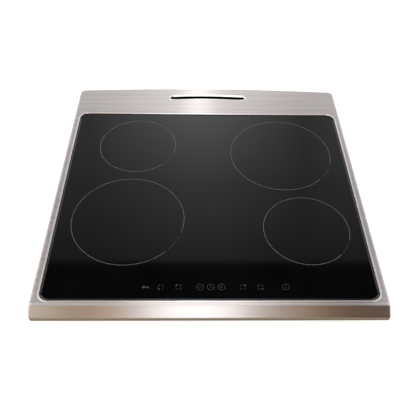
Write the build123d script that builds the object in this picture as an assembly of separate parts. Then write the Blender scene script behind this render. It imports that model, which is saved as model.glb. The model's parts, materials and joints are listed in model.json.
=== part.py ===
from build123d import *
import os
from math import atan2, cos, degrees, pi, radians, sin, sqrt, tan

# Electric induction cooktop: a pressed stainless top with a black glass-ceramic plate, four induction
# zones, touch controls and a vent slot, and under it the coils, electronics and fans in a steel tray.
# Millimetres. +X is the user's right, +Y the rear, +Z up. The origin is the middle of the bounding
# box's bottom face, which is the underside of the tray.

# ---------------------------------------------------------------- driving dimensions

WIDTH = 600.0             # pressed top, side to side
DEPTH = 612.0             # nose to the middle of the bowed rear edge
TOP_Z = 62.0              # flat of the pressed top, and the face of the glass
SKIRT_Z = 40.0            # lower edge of the skirt
SHEET = 1.0               # stainless sheet
FRONT_Y = -DEPTH / 2
REAR_Y = DEPTH / 2
REAR_RADIUS = 4900.0      # the rear edge bows rearward
REAR_CORNER = 12.0
EDGE_ROUND = 4.0          # all round the upper edge and down the nose's ends
NOSE_RUN = 17.7           # the nose slopes down from here, counted back from its front
NOSE_ANGLE = 38.0         # degrees below the flat
NOSE_ROUND = 6.0          # where the slope meets the upright front
CREASE_ROUND = 10.0       # where the flat rolls over into the slope
RETURN_FLANGE = 12.0      # turned in under the skirt

GLASS_Y = -35.5           # middle of the tray and the zones
OPENING_Y = -36.75        # middle of the glass opening
OPENING_W = 573.0
OPENING_D = 489.0
OPENING_R = 16.5
BEAD_W = 3.0              # raised bead round the opening
BEAD_H = 1.0
LEDGE_W = 12.0            # shelf that the glass is bonded to
GLASS_T = 4.0
GLASS_GAP = 1.2           # silicone joint round the glass
SEAL_T = 0.5              # silicone bed under the glass
GLASS_BEVEL = 2.6
GLASS_BEVEL_DROP = 1.3

SLOT_Y = 273.9            # vent slot's middle line, on X = 0
SLOT_W = 10.5
SLOT_LENGTH = 173.0
SLOT_RADIUS = 950.0       # the slot bows with the rear edge
SLOT_LIP = 8.0            # depth of its turned-down lip
SLOT_ROLL = 4.5           # radius that the lip is rolled over
DUCT_X = 97.0
DUCT_Y = (255.0, 289.0)
DUCT_LOW_Z = 43.0
DUCT_SHEET = 0.8
DUCT_FLANGE = 8.0

FIXING_X = 293.0          # holes in the return flange that fasten the top to a cabinet
FIXING_Y = 240.0
FIXING_R = 2.25

TRAY_W = 556.0
TRAY_D = 484.0
TRAY_CORNER = 8.0
TRAY_SHEET = 1.0
TRAY_TOP = 49.5
TRAY_FLANGE = 9.0
TRAY_BEND = 3.0
SCREW_LINE = 4.8          # screws, outward from the tray's wall
SCREW_R = 1.9             # M4 shank
RAIL_T = 1.5
RAIL_TOP = TRAY_TOP + RAIL_T

# Zones: name, X and Y from the middle of the glass, diameter of the printed ring.
ZONES = (
    ("rear_left", -150.0, 138.0, 160.0),
    ("front_left", -153.0, -69.0, 210.0),
    ("rear_right", 152.0, 113.0, 210.0),
    ("front_right", 180.0, -93.0, 160.0),
)
# Touch symbols, X from the middle; all on one line, Y from the middle of the glass.
KEYS_X = (-111.0, -84.7, -55.0, -18.0, 0.0, 18.0, 54.8, 84.7, 127.8)
KEYS_Y = -219.0

# Heights of the stack under the glass.
GLASS_LOW = TOP_Z - GLASS_T
MAT_T = 1.2
WIRE_D = 3.6              # litz wire, wound flat in one layer
WINDING_RIM = 8.0         # from the winding's edge to the printed ring
WINDING_ROUND = 0.8
FORMER_T = 2.0
FERRITE_T = 5.0
FERRITE_W = 10.0
WINDING_TOP = GLASS_LOW - MAT_T
FORMER_TOP = WINDING_TOP - WIRE_D
FORMER_LOW = FORMER_TOP - FORMER_T
FERRITE_LOW = FORMER_LOW - FERRITE_T
SPRING_TOP = 46.5
PLATE_TOP = 40.0
PLATE_T = 1.5
PLATE_LOW = PLATE_TOP - PLATE_T

# Electronics, as distances from the middle plane, mirrored left and right.
BOARD_X = (29.0, 251.0)
BOARD_Y = (-185.0, 55.0)
BOARD_Z = 8.0
BOARD_T = 1.6
SINK_X = (172.0, 222.0)
SINK_Y = (-175.0, 45.0)
SINK_TOP = 35.5
FAN_X = 175.0
FAN_Y = 125.0
FAN_R = 48.0
FAN_TOP = 33.0
SPINDLE_R = 2.0
SPINDLE_PLAY = 0.06       # running clearance of the rotor's bore
ROTOR_R = 38.0
ROTOR_LOW = 6.0
ROTOR_TOP = 30.0

# Terminal box, behind the tray.
TERM_X = (160.0, 250.0)
TERM_Y = (206.5, 246.5)
TERM_Z = (6.0, 46.0)
TERM_WALL = 2.0
COVER_GAP = 0.4
HINGE_PIN_R = 1.5
HINGE_PLAY = 0.08
CABLE_R = 7.5
CABLE_Y = 228.0
CABLE_Z = 24.0

# Rails and screws.
SIDE_RAIL_Y = (-205.0, 170.0)
END_RAIL_X = (-245.0, 245.0)
REAR_RAIL_LEG = 20.0
SIDE_SCREWS_Y = (-180.0, -70.0, 40.0, 150.0)
END_SCREWS_X = (-200.0, 0.0, 200.0)
SCREW_LENGTH = 6.0

# Air slots, narrower than a finger or a tool.
VENT_W = 3.0
INTAKE_R = 36.0
INTAKE_PITCH = 6.0
OUTLET_COUNT = 12
OUTLET_PITCH = 7.0
OUTLET_Z = (12.0, 34.0)
SIDE_OUTLET_Y = -60.0

# Coil formers and the plates under them.
HUB_R = 14.0
SENSOR_R = 5.0
POCKET_WALL = 1.2
FOOT_R = 6.0
LEAF_LENGTH = 30.0
LEAF_W = 8.0
LEAF_T = 0.6
SENSOR_COLLAR = 2.5       # the collar stands out from the sensor
COLLAR_T = 1.5
PLATE_CORNER = 6.0
PLATE_X = (3.0, 272.0)
PLATE_Y = (-217.5, 200.5)
PLATE_HOLE_R = 12.0
PILLAR_X = (12.0, 263.0)
PILLAR_Y = (-205.0, 190.0)
PILLAR_R = 5.0
PILLAR_WALL = 2.0

# Coil leads: side, point on the coil's edge, point where they go down through the plate.
COIL_LEADS = (
    (-1, (-87.6, 66.5), (-75.0, 25.0)),
    (-1, (-84.4, -35.9), (-60.0, -15.0)),
    (1, (83.4, 8.9), (75.0, -25.0)),
    (1, (180.0, -56.5), (110.0, -45.0)),
)
LEAD_R = 1.5
LEAD_PITCH = 6.0
LEAD_Z = 43.0
LEAD_BEND = 3.0
LEAD_HOLE_R = 6.5

# Heat sinks and board parts.
CARRIER_WALL = 1.5
CARRIER_LIP = 2.0         # the carrier's wall stands above the board
POST_R = 4.0
POST_INSET = 8.0
BOARD_HOLE_R = 1.6
SINK_BASE = 4.0
SPINE_T = 4.0
FIN_T = 1.6
FIN_COUNT = 9
TRANSISTORS = 4
TRANSISTOR_START = 25.0
TRANSISTOR_PITCH = 38.0
TRANSISTOR_BODY = (5.0, 16.0, 20.0)
LEG_STEP = 5.0
LEG_T = 1.0
LEG_W = 1.2
RECTIFIER_Y = (10.0, 40.0)
CAPACITOR_ROUND = 1.2
# X, Y, width, depth and height of each box capacitor on a power board.
CAPACITORS = (
    (45.0, -165.0, 42.0, 20.0, 26.0),
    (45.0, -135.0, 42.0, 20.0, 26.0),
    (100.0, -165.0, 32.0, 16.0, 22.0),
    (100.0, -140.0, 32.0, 16.0, 22.0),
    (45.0, -100.0, 42.0, 28.0, 24.0),
)

# Fans.
FAN_MOUTH = 66.0
INLET_R = 33.0
MOTOR_R = 13.0
MOTOR_TOP = 7.0
HOUSING_WALL = 1.5
SPOKE_W = 4.0
SPOKE_ANGLES = (90, 210, 330)
HUB_OUTER = 6.0
ROTOR_DISC_T = 1.5
TIE_RING = 2.0
BLADES = 30
BLADE_T = 1.2

# Mains filter board.
FILTER_X = (-75.0, 75.0)
FILTER_Y = (90.0, 178.0)
CHOKE_X = (-38.0, 12.0)
CHOKE_Y = 112.0
CHOKE_R = 12.0
CHOKE_WIRE_R = 6.0
CHOKE_LIFT = 9.0
FILTER_POST_R = 3.0
FILTER_POST_INSET = 6.0
FILTER_BOXES = (
    (-60.0, 140.0, 30.0, 14.0, 20.0),
    (-20.0, 140.0, 30.0, 14.0, 20.0),
    (36.0, 100.0, 28.0, 12.0, 16.0),
)

# Touch controls.
TOUCH_X = (-130.0, 147.0)
TOUCH_HALF = 17.0
TOUCH_BOARD_Z = 47.0
PAD_R = 5.0
PAD_WALL = 2.0
TROUGH_WALL = 1.5
TROUGH_DROP = 4.0         # the trough's floor below the touch board
TROUGH_LEG_R = 4.0
SHELF_RIB = 4.0

# Terminal box details.
COVER_T = 3.6
HINGE_RISE = 5.0
EAR_T = 4.0
EAR_R = 3.4
GROMMET_WAIST = 9.5
BLOCK_X = (186.0, 244.0)
BLOCK_Y = (210.0, 234.0)
BLOCK_Z = (8.0, 30.0)
BLOCK_SCREW_Y = 222.0
TERMINALS = 4
TERMINAL_PITCH = 12.0
TERMINAL_INSET = 7.0
WELL_R = 3.2
ENTRY_DEPTH = 10.0
ENTRY_H = 7.0
WELL_FLOOR = 6.0
TERMINAL_SCREW_R = 3.0
COVER_PLAY = 0.4
GRIP_HALF = 12.0
GRIP_DEPTH = 3.0
CLAMP_X = (169.0, 179.0)
CLAMP_WALL = 3.0
GROMMET_FLANGE = 3.0
PASSAGE_X = (190.0, 230.0)
PASSAGE_Z = (18.0, 36.0)
SUPPLY_X = 196.0
SUPPLY_Z = 20.0
SUPPLY_WIRES = 3
SUPPLY_STEP = 9.0
SUPPLY_RISE = 4.5
SUPPLY_R = 1.6
SUPPLY_BEND = 4.0

# Ribbon cable.
RIBBON_X = 40.0
RIBBON_W = 14.0
RIBBON_T = 1.0
RIBBON_START_Y = -250.0
RIBBON_END_Y = -170.0
RIBBON_HIGH = TOUCH_BOARD_Z - 8.0
RIBBON_LOW = 16.0
RIBBON_BEND = 2.5


# ---------------------------------------------------------------- shapes used throughout

def block(x_span, y_span, z_span):
    """Box from its lowest to its highest value on each axis."""
    spans = (x_span, y_span, z_span)
    size = [max(span) - min(span) for span in spans]
    low = [min(span) for span in spans]
    return Pos(*low) * Box(*size, align=(Align.MIN, Align.MIN, Align.MIN))


def drum(x, y, radius, low_z, high_z):
    """Upright cylinder."""
    bottom = (Align.CENTER, Align.CENTER, Align.MIN)
    return Pos(x, y, low_z) * Cylinder(radius, high_z - low_z, align=bottom)


def tube(x, y, outer, inner, low_z, high_z):
    """Upright hollow cylinder."""
    return drum(x, y, outer, low_z, high_z) - drum(x, y, inner, low_z - 1, high_z + 1)


def plate(width, depth, corner, low_z, high_z, y=GLASS_Y):
    """Flat plate with round corners, centred on the tray unless told otherwise."""
    return Pos(0, y, low_z) * extrude(RectangleRounded(width, depth, corner), high_z - low_z)


def rim(width, depth, corner, outward, inward, low_z, high_z, y=GLASS_Y):
    """Band along a round-cornered rectangle, from outward of it to inward of it."""
    outer = plate(width + 2 * outward, depth + 2 * outward, corner + outward, low_z, high_z, y)
    core_corner = max(corner - inward, 1.0)
    core = plate(width - 2 * inward, depth - 2 * inward, core_corner, low_z - 1, high_z + 1, y)
    return outer - core


def slotted(x, y, length, width, low_z, high_z, turn=0):
    """Cutter for one round-ended slot in a flat floor."""
    face = Rot(0, 0, turn) * SlotOverall(length, width)
    return Pos(x, y, low_z) * extrude(face, high_z - low_z)


def joined(parts):
    """Fuse parts that touch into one solid."""
    first, *rest = list(parts)
    return first.fuse(*rest) if rest else first


def group(parts):
    """Separate solids kept in one node."""
    solids = [solid for part in parts for solid in part.solids()]
    return Compound(children=solids)


def wire(points, radius, bend):
    """Round wire along straight runs with one bend radius."""
    path = FilletPolyline(*points, radius=bend)
    section = Plane(origin=path @ 0, z_dir=path % 0) * Circle(radius)
    return sweep(section, path=path)


def mirrored(part, side):
    """A part drawn on the right is kept (side 1) or mirrored to the left (side -1)."""
    return part if side > 0 else mirror(part, about=Plane.YZ)


# ---------------------------------------------------------------- pressed top

def plan_face(inset):
    """Outline of the top seen from above: straight front and sides, bowed rear."""
    half = WIDTH / 2 - inset
    front = FRONT_Y + inset
    rear = REAR_Y - inset
    corner_y = rear - (REAR_RADIUS - sqrt(REAR_RADIUS**2 - half**2))
    sides = Polyline((half, corner_y), (half, front), (-half, front), (-half, corner_y))
    bow = ThreePointArc((-half, corner_y), (0, rear), (half, corner_y))
    face = make_face(sides + bow)
    corners = face.vertices().sort_by(Axis.Y)[-2:]
    return fillet(corners, max(REAR_CORNER - inset, 1.0))


def pressed_form(inset, low_z):
    """Solid inside the outer skin (inset 0) or the inner skin (inset of one sheet)."""
    top = TOP_Z - inset
    front = FRONT_Y + inset
    half = WIDTH / 2 - inset
    slope = radians(NOSE_ANGLE)
    crease_y = FRONT_Y + NOSE_RUN + inset * tan(slope / 2)
    nose_z = TOP_Z - NOSE_RUN * tan(slope) - inset * tan(pi / 4 - slope / 2)
    corners = ((front, low_z), (front, nose_z), (crease_y, top), (REAR_Y + 5, top), (REAR_Y + 5, low_z))
    side_view = make_face(Plane.YZ * Polyline(*corners, close=True))
    for spot, radius in (((0, crease_y, top), CREASE_ROUND), ((0, front, nose_z), NOSE_ROUND)):
        corner = side_view.vertices().sort_by_distance(spot)[0]
        side_view = fillet(corner, radius - inset)
    form = extrude(side_view, half, both=True)
    form = form & Pos(0, 0, low_z) * extrude(plan_face(inset), top - low_z)
    border = form.edges().filter_by(lambda e: on_border(e, half, low_z, top))
    return fillet(border, EDGE_ROUND - inset)


def on_border(edge, half, low_z, top):
    """True on the upper edge at the sides and rear, and on the nose's two ends down to the skirt."""
    point = edge.center()
    upright_behind = abs(edge.tangent_at(0.5).Z) > 0.99 and point.Y > 0
    if upright_behind or point.Z < low_z + 0.1:
        return False
    on_side = abs(abs(point.X) - half) < 0.01
    on_rear = abs(point.Z - top) < 0.01 and point.Y > 0
    return on_side or on_rear


def slot_face(width):
    """The vent slot seen from above: an arc with round ends."""
    reach = SLOT_LENGTH / 2 - SLOT_W / 2
    half_turn = degrees(reach / SLOT_RADIUS)
    arc = CenterArc((0, SLOT_Y - SLOT_RADIUS), SLOT_RADIUS, 90 - half_turn, 2 * half_turn)
    return SlotArc(arc, width)


def slot_prism(width, low_z, high_z):
    """The vent slot as an upright prism."""
    return Pos(0, 0, low_z) * extrude(slot_face(width), high_z - low_z)


def slot_collar():
    """Sheet rolled down round the vent slot, hollow behind the roll."""
    low = TOP_Z - SLOT_LIP
    body = slot_prism(SLOT_W + 2 * SLOT_ROLL, low, TOP_Z - SHEET)
    lining = slot_prism(SLOT_W + 2 * SHEET, low - 2, TOP_Z + 1)
    behind = slot_prism(SLOT_W + 2 * SLOT_ROLL + 2, low - 1, TOP_Z - SHEET) - lining
    return body - fillet(inner_edges(behind), SLOT_ROLL - SHEET)


def inner_edges(ring):
    """Top edges round the hole of an upright ring."""
    top = ring.faces().sort_by(Axis.Z)[-1]
    return top.inner_wires()[0].edges()


def fixing_spots():
    """Middles of the four fixing holes."""
    return [(x, y) for x in (-FIXING_X, FIXING_X) for y in (-FIXING_Y, FIXING_Y)]


def make_top_frame():
    """Stainless top: skirted shell, bead and shelf round the glass, lipped vent slot."""
    shell = pressed_form(0, SKIRT_Z) - pressed_form(SHEET, SKIRT_Z + SHEET)
    hem = Pos(0, 0, SKIRT_Z - 1) * extrude(plan_face(RETURN_FLANGE), 3)
    shell = shell - hem
    shell = shell - plate(OPENING_W, OPENING_D, OPENING_R, GLASS_LOW, TOP_Z + 1, OPENING_Y)
    shelf_low = GLASS_LOW - SEAL_T - SHEET
    opening = (OPENING_W, OPENING_D, OPENING_R)
    bead = rim(*opening, BEAD_W, 0, TOP_Z - SHEET, TOP_Z + BEAD_H, OPENING_Y)
    crown = bead.edges().group_by(Axis.Z)[-1]
    bead = fillet(crown, BEAD_H * 0.95)
    wall = rim(*opening, SHEET, 0, shelf_low, TOP_Z - SHEET, OPENING_Y)
    shelf = rim(*opening, SHEET, LEDGE_W, shelf_low, shelf_low + SHEET, OPENING_Y)
    shell = joined([shell, bead, wall, shelf, slot_collar()])
    shell = shell - slot_prism(SLOT_W, TOP_Z - SLOT_LIP - 1, TOP_Z + 1)
    lip = shell.edges().filter_by(
        lambda e: abs(e.center().Z - TOP_Z) < 0.01 and SLOT_Y - 20 < e.center().Y < SLOT_Y + 12
        and abs(e.center().X) < SLOT_LENGTH / 2 + 1)
    shell = fillet(lip, SLOT_ROLL)
    holes = [drum(x, y, FIXING_R, SKIRT_Z - 1, SKIRT_Z + 2) for x, y in fixing_spots()]
    return shell - holes


def make_glass():
    """Glass-ceramic plate with its ground bevel."""
    width = OPENING_W - 2 * GLASS_GAP
    depth = OPENING_D - 2 * GLASS_GAP
    slab = plate(width, depth, OPENING_R - GLASS_GAP, GLASS_LOW, TOP_Z, OPENING_Y)
    top_face = slab.faces().sort_by(Axis.Z)[-1]
    return chamfer(top_face.edges(), GLASS_BEVEL, GLASS_BEVEL_DROP, reference=top_face)


def make_seal():
    """Silicone joint: a bed under the glass and a bead round its edge."""
    shelf_top = GLASS_LOW - SEAL_T
    opening = (OPENING_W, OPENING_D, OPENING_R)
    bed = rim(*opening, 0, LEDGE_W - 2, shelf_top, GLASS_LOW, OPENING_Y)
    edge = rim(*opening, 0, GLASS_GAP, GLASS_LOW, TOP_Z - GLASS_BEVEL_DROP, OPENING_Y)
    return joined([bed, edge])


def make_vent_duct():
    """Sheet duct that brings air up to the vent slot."""
    low_y, high_y = DUCT_Y
    flange_z = TOP_Z - SHEET - DUCT_SHEET
    t = DUCT_SHEET
    outside = block((-DUCT_X, DUCT_X), DUCT_Y, (DUCT_LOW_Z, TOP_Z - SHEET))
    flange = block((-DUCT_X - DUCT_FLANGE, DUCT_X + DUCT_FLANGE), (low_y - DUCT_FLANGE, high_y),
                   (flange_z, TOP_Z - SHEET))
    inside = block((-DUCT_X + t, DUCT_X - t), (low_y + t, high_y - t), (DUCT_LOW_Z - 1, TOP_Z))
    return joined([outside, flange]) - inside


# ---------------------------------------------------------------- tray and rails

def screw_spots():
    """Middles of the screws that hold the tray's flange to the rails."""
    side_x = TRAY_W / 2 + SCREW_LINE
    end_y = TRAY_D / 2 + SCREW_LINE
    sides = [(x, y) for x in (-side_x, side_x) for y in SIDE_SCREWS_Y]
    ends = [(x, GLASS_Y + y) for x in END_SCREWS_X for y in (-end_y, end_y)]
    return sides + ends


def screw_holes(radius):
    """Cutters for the tray screws through the flange and the rails."""
    return [drum(x, y, radius, TRAY_TOP - 2, RAIL_TOP + 1) for x, y in screw_spots()]


def make_side_rail(side):
    """Folded Z rail between the hem of the skirt and the tray's flange."""
    web_x = WIDTH / 2 - RETURN_FLANGE + 1
    low = SKIRT_Z + SHEET
    top_leg = block((TRAY_W / 2 + 1, web_x + RAIL_T), SIDE_RAIL_Y, (TRAY_TOP, RAIL_TOP))
    web = block((web_x, web_x + RAIL_T), SIDE_RAIL_Y, (low, RAIL_TOP))
    foot = block((web_x, WIDTH / 2 - SHEET), SIDE_RAIL_Y, (low, low + RAIL_T))
    rail = mirrored(joined([top_leg, web, foot]), side)
    return rail - screw_holes(SCREW_R)


def make_front_rail():
    """Folded Z rail inside the nose."""
    web_y = FRONT_Y + RETURN_FLANGE - 1
    low = SKIRT_Z + SHEET
    tray_front = GLASS_Y - TRAY_D / 2
    top_leg = block(END_RAIL_X, (web_y - RAIL_T, tray_front - 1), (TRAY_TOP, RAIL_TOP))
    web = block(END_RAIL_X, (web_y - RAIL_T, web_y), (low, RAIL_TOP))
    foot = block(END_RAIL_X, (FRONT_Y + SHEET, web_y), (low, low + RAIL_T))
    return joined([top_leg, web, foot]) - screw_holes(SCREW_R)


def make_rear_rail():
    """Folded Z rail from the underside of the top down to the tray's rear flange."""
    tray_rear = GLASS_Y + TRAY_D / 2
    web_y = tray_rear + TRAY_FLANGE
    top = TOP_Z - SHEET
    low_leg = block(END_RAIL_X, (tray_rear + 1, web_y + RAIL_T), (TRAY_TOP, RAIL_TOP))
    web = block(END_RAIL_X, (web_y, web_y + RAIL_T), (TRAY_TOP, top))
    high_leg = block(END_RAIL_X, (web_y, web_y + REAR_RAIL_LEG), (top - RAIL_T, top))
    return joined([low_leg, web, high_leg]) - screw_holes(SCREW_R)


def intake_slots(side):
    """Slots in the tray's floor under one fan, in rows that fill a circle."""
    count = int(INTAKE_R // INTAKE_PITCH)
    cutters = []
    for row in range(-count, count + 1):
        offset = row * INTAKE_PITCH
        length = 2 * sqrt(INTAKE_R**2 - offset**2)
        if length > 4 * VENT_W:
            cutters.append(slotted(side * FAN_X, FAN_Y + offset, length, VENT_W, -1, TRAY_SHEET + 1))
    return cutters


def outlet_slots():
    """Upright slots in the tray's front and side walls."""
    low, high = OUTLET_Z
    front = GLASS_Y - TRAY_D / 2
    cutters = []
    for side in (-1, 1):
        for index in range(OUTLET_COUNT):
            along = (index - (OUTLET_COUNT - 1) / 2) * OUTLET_PITCH
            x = side * (sum(SINK_X) / 2) + along
            cutters.append(block((x - VENT_W / 2, x + VENT_W / 2), (front - 2, front + 3), (low, high)))
            y = SIDE_OUTLET_Y + along
            wall = side * TRAY_W / 2
            cutters.append(block((wall - 3, wall + 3), (y - VENT_W / 2, y + VENT_W / 2), (low, high)))
    return cutters


def make_bottom_tray():
    """Folded steel tray with an outward flange, air slots and a hole for the supply wires."""
    body = plate(TRAY_W, TRAY_D, TRAY_CORNER, 0, TRAY_TOP)
    body = fillet(body.edges().group_by(Axis.Z)[0], TRAY_BEND)
    width = TRAY_W - 2 * TRAY_SHEET
    depth = TRAY_D - 2 * TRAY_SHEET
    hollow = plate(width, depth, TRAY_CORNER - TRAY_SHEET, TRAY_SHEET, TRAY_TOP + 1)
    hollow = fillet(hollow.edges().group_by(Axis.Z)[0], TRAY_BEND - TRAY_SHEET)
    flange = rim(TRAY_W, TRAY_D, TRAY_CORNER, TRAY_FLANGE, 0, TRAY_TOP - TRAY_SHEET, TRAY_TOP)
    tray = joined([body - hollow, flange])
    tray = tray - (intake_slots(-1) + intake_slots(1) + outlet_slots())
    tray = tray - screw_holes(SCREW_R + 0.3)
    return tray - wire_passage()


def wire_passage():
    """Hole through the tray's rear wall and the terminal box for the supply wires."""
    return block(PASSAGE_X, (TERM_Y[0] - 5, TERM_Y[0] + TERM_WALL + 1), PASSAGE_Z)


def pan_head_screw(x, y, seat_z, radius, length):
    """Pan-head screw driven upwards, with a cross recess in its head."""
    head_r = 2.1 * radius
    head_h = 1.3 * radius
    head = fillet(drum(x, y, head_r, seat_z - head_h, seat_z).edges().group_by(Axis.Z)[0], 0.45 * head_h)
    shank = drum(x, y, radius, seat_z, seat_z + length)
    arm = 1.1 * radius
    thin = 0.22 * radius
    recess_z = (seat_z - head_h - 1, seat_z - 0.35 * head_h)
    cross = [block((x - arm, x + arm), (y - thin, y + thin), recess_z),
             block((x - thin, x + thin), (y - arm, y + arm), recess_z)]
    return joined([head, shank]) - cross


def make_tray_screws():
    """The screws round the tray's flange."""
    seat = TRAY_TOP - TRAY_SHEET
    return group(pan_head_screw(x, y, seat, SCREW_R, SCREW_LENGTH) for x, y in screw_spots())


# ---------------------------------------------------------------- coils

def polar(x, y, radius, angle):
    """Point at a distance and an angle from a middle point."""
    return x + radius * cos(radians(angle)), y + radius * sin(radians(angle))


def bar_angles(ring):
    """Ferrite bars: six under a small coil, eight under a large one."""
    count = 6 if ring < 200 else 8
    first = 0 if count == 6 else 22.5
    return [first + 360 / count * index for index in range(count)]


def foot_angles(ring):
    """Feet, halfway between ferrite bars."""
    return (30, 150, 270) if ring < 200 else (0, 90, 180, 270)


def bar_reach(ring):
    """Inner and outer end of a ferrite bar, from the coil's middle."""
    return ring * 0.15, ring / 2 - 10


def radial_bar(x, y, near, far, width, low_z, high_z, angle):
    """Straight bar that points away from a coil's middle."""
    bar = block((near, far), (-width / 2, width / 2), (low_z, high_z))
    return Pos(x, y, 0) * Rot(0, 0, angle) * bar


def make_coil_former(x, y, ring):
    """Moulded carrier: disc, rim and hub above, bar pockets and feet below."""
    outer = ring / 2 - 2
    near, far = bar_reach(ring)
    disc = drum(x, y, outer, FORMER_LOW, FORMER_TOP)
    edge = tube(x, y, outer, outer - 2, FORMER_LOW, WINDING_TOP - 0.4)
    hub = drum(x, y, HUB_R, FERRITE_LOW + 1, WINDING_TOP - 0.4)
    wall = POCKET_WALL
    pockets = [radial_bar(x, y, near - wall, far + wall, FERRITE_W + 2 * wall,
                          FERRITE_LOW + 1, FORMER_LOW, angle) for angle in bar_angles(ring)]
    feet = [drum(*polar(x, y, outer - FOOT_R - 2, angle), FOOT_R, SPRING_TOP, FORMER_LOW)
            for angle in foot_angles(ring)]
    former = joined([disc, edge, hub, *pockets, *feet])
    bars = [radial_bar(x, y, near, far, FERRITE_W, FERRITE_LOW - 1, FORMER_LOW, angle)
            for angle in bar_angles(ring)]
    return former - bars - drum(x, y, SENSOR_R, 0, TOP_Z)


def make_coil_winding(x, y, ring):
    """Flat coil of litz wire, as one closed ring over its turns."""
    outer = ring / 2 - WINDING_RIM
    coil = tube(x, y, outer, HUB_R + WIRE_D / 2, FORMER_TOP, WINDING_TOP)
    return fillet(coil.edges(), WINDING_ROUND)


def make_coil_ferrites(x, y, ring):
    """Ferrite bars under a coil."""
    near, far = bar_reach(ring)
    return group(radial_bar(x, y, near, far, FERRITE_W, FERRITE_LOW, FORMER_LOW, angle)
                 for angle in bar_angles(ring))


def make_coil_mat(x, y, ring):
    """Insulating disc between a coil and the glass."""
    return tube(x, y, ring / 2 - 4, SENSOR_R + 3, WINDING_TOP, GLASS_LOW)


def heat_sensor(x, y):
    """Temperature sensor that touches the glass in a coil's middle."""
    collar_top = FERRITE_LOW + 1
    collar_low = collar_top - COLLAR_T
    body = drum(x, y, SENSOR_R, collar_low, GLASS_LOW - 1)
    tip = drum(x, y, SENSOR_R - COLLAR_T, GLASS_LOW - 1, GLASS_LOW)
    collar = drum(x, y, SENSOR_R + SENSOR_COLLAR, collar_low, collar_top)
    return joined([body, tip, collar])


def leaf_spring(x, y, angle):
    """Bowed strip that pushes a foot of the former up."""
    rise = SPRING_TOP - PLATE_TOP
    t = LEAF_T
    half = LEAF_LENGTH / 2
    above = ThreePointArc((-half, PLATE_TOP + t), (0, PLATE_TOP + rise), (half, PLATE_TOP + t))
    below = ThreePointArc((half, PLATE_TOP), (0, PLATE_TOP + rise - t), (-half, PLATE_TOP))
    ends = Line(above @ 1, below @ 0) + Line(below @ 1, above @ 0)
    face = Plane.XZ * make_face(above + below + ends)
    strip = extrude(face, LEAF_W / 2, both=True)
    return Pos(x, y, 0) * Rot(0, 0, angle) * strip


def make_coil_springs():
    """All the leaf springs, one under each foot."""
    springs = []
    for _, x, y, ring in ZONES:
        for angle in foot_angles(ring):
            spot = polar(x, y + GLASS_Y, ring / 2 - 4 - FOOT_R, angle)
            springs.append(leaf_spring(*spot, angle + 90))
    return group(springs)


def make_coil_plate(side):
    """Aluminium plate that carries two coils and shields the electronics."""
    sheet = block(PLATE_X, PLATE_Y, (PLATE_LOW, PLATE_TOP))
    sheet = fillet(sheet.edges().filter_by(Axis.Z), PLATE_CORNER)
    sheet = mirrored(sheet, side)
    holes = []
    for _, x, y, _ in ZONES:
        if x * side > 0:
            holes.append(drum(x, y + GLASS_Y, PLATE_HOLE_R, PLATE_LOW - 1, PLATE_TOP + 1))
    for lead_side, _, hole in COIL_LEADS:
        if lead_side == side:
            holes.append(drum(*hole, LEAD_HOLE_R, PLATE_LOW - 1, PLATE_TOP + 1))
    return sheet - holes


def make_plate_pillars():
    """Pillars between the tray and the aluminium plates."""
    spots = [(side * x, y) for side in (-1, 1) for x in PILLAR_X for y in PILLAR_Y]
    inner = PILLAR_R - PILLAR_WALL
    return group(tube(x, y, PILLAR_R, inner, TRAY_SHEET, PLATE_LOW) for x, y in spots)


# ---------------------------------------------------------------- power electronics

def board_spots(columns):
    """Middles of a board's posts or holes, in two rows of the given columns."""
    rows = (BOARD_Y[0] + POST_INSET, BOARD_Y[1] - POST_INSET)
    return [(x, y) for x in columns for y in rows]


def make_board_carrier(side):
    """Moulded carrier that insulates a power board from the tray."""
    reach = CARRIER_WALL + 1
    x_span = (BOARD_X[0] - reach, BOARD_X[1] + reach)
    y_span = (BOARD_Y[0] - reach, BOARD_Y[1] + reach)
    inner_x = (x_span[0] + CARRIER_WALL, x_span[1] - CARRIER_WALL)
    inner_y = (y_span[0] + CARRIER_WALL, y_span[1] - CARRIER_WALL)
    top = BOARD_Z + BOARD_T + CARRIER_LIP
    hollow = block(inner_x, inner_y, (TRAY_SHEET + CARRIER_WALL, top + 1))
    shell = block(x_span, y_span, (TRAY_SHEET, top)) - hollow
    columns = (BOARD_X[0] + POST_INSET, sum(BOARD_X) / 2, BOARD_X[1] - POST_INSET)
    posts = [drum(x, y, POST_R, TRAY_SHEET, BOARD_Z) for x, y in board_spots(columns)]
    return mirrored(joined([shell, *posts]), side)


def make_power_board(side):
    """Power circuit board with its corner holes."""
    board = block(BOARD_X, BOARD_Y, (BOARD_Z, BOARD_Z + BOARD_T))
    columns = (BOARD_X[0] + POST_INSET, BOARD_X[1] - POST_INSET)
    holes = [drum(x, y, BOARD_HOLE_R, BOARD_Z - 1, BOARD_Z + BOARD_T + 1) for x, y in board_spots(columns)]
    return mirrored(board - holes, side)


def make_heat_sink(side):
    """Aluminium extrusion with upright fins along the air stream."""
    low = BOARD_Z + BOARD_T
    base = block(SINK_X, SINK_Y, (low, low + SINK_BASE))
    pitch = (SINK_X[1] - SINK_X[0] - FIN_T) / (FIN_COUNT - 1)
    fins = [block((SINK_X[0] + index * pitch, SINK_X[0] + index * pitch + FIN_T), SINK_Y,
                  (low + SINK_BASE - 0.5, SINK_TOP)) for index in range(1, FIN_COUNT)]
    spine = block((SINK_X[0], SINK_X[0] + SPINE_T), SINK_Y, (low, SINK_TOP))
    return mirrored(joined([base, spine, *fins]), side)


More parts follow.
